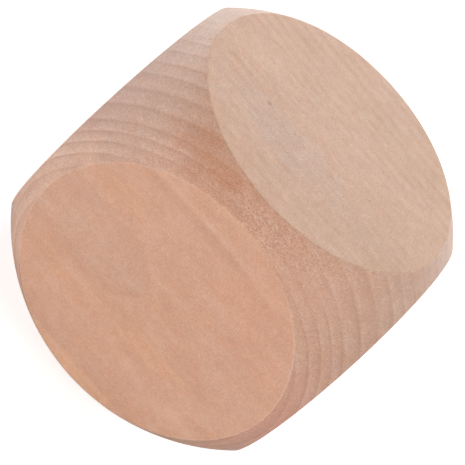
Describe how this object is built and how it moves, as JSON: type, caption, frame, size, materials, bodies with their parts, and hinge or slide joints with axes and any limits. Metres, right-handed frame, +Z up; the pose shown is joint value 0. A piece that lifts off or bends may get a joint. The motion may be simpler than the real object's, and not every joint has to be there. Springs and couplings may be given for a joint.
{
  "type": "wooden cube",
  "caption": "Plain cube of pale close-grained hardwood, turned to a ball at its edges and corners, so that each side is a round flat. A blank for dice, games, crafts and small feet.",
  "frame": {"origin": "centre of the flat that the cube stands on", "axes": "+Z up out of the top flat, -Y out of the front flat, X along the grain, with end grain on the left and right flats"},
  "size_m": [0.03, 0.03, 0.03],
  "materials": {
    "wood": "bare, fine sanded, with a low satin sheen"
  },
  "bodies": {
    "root": {"wooden_cube": "wood"}
  },
  "joints": []
}
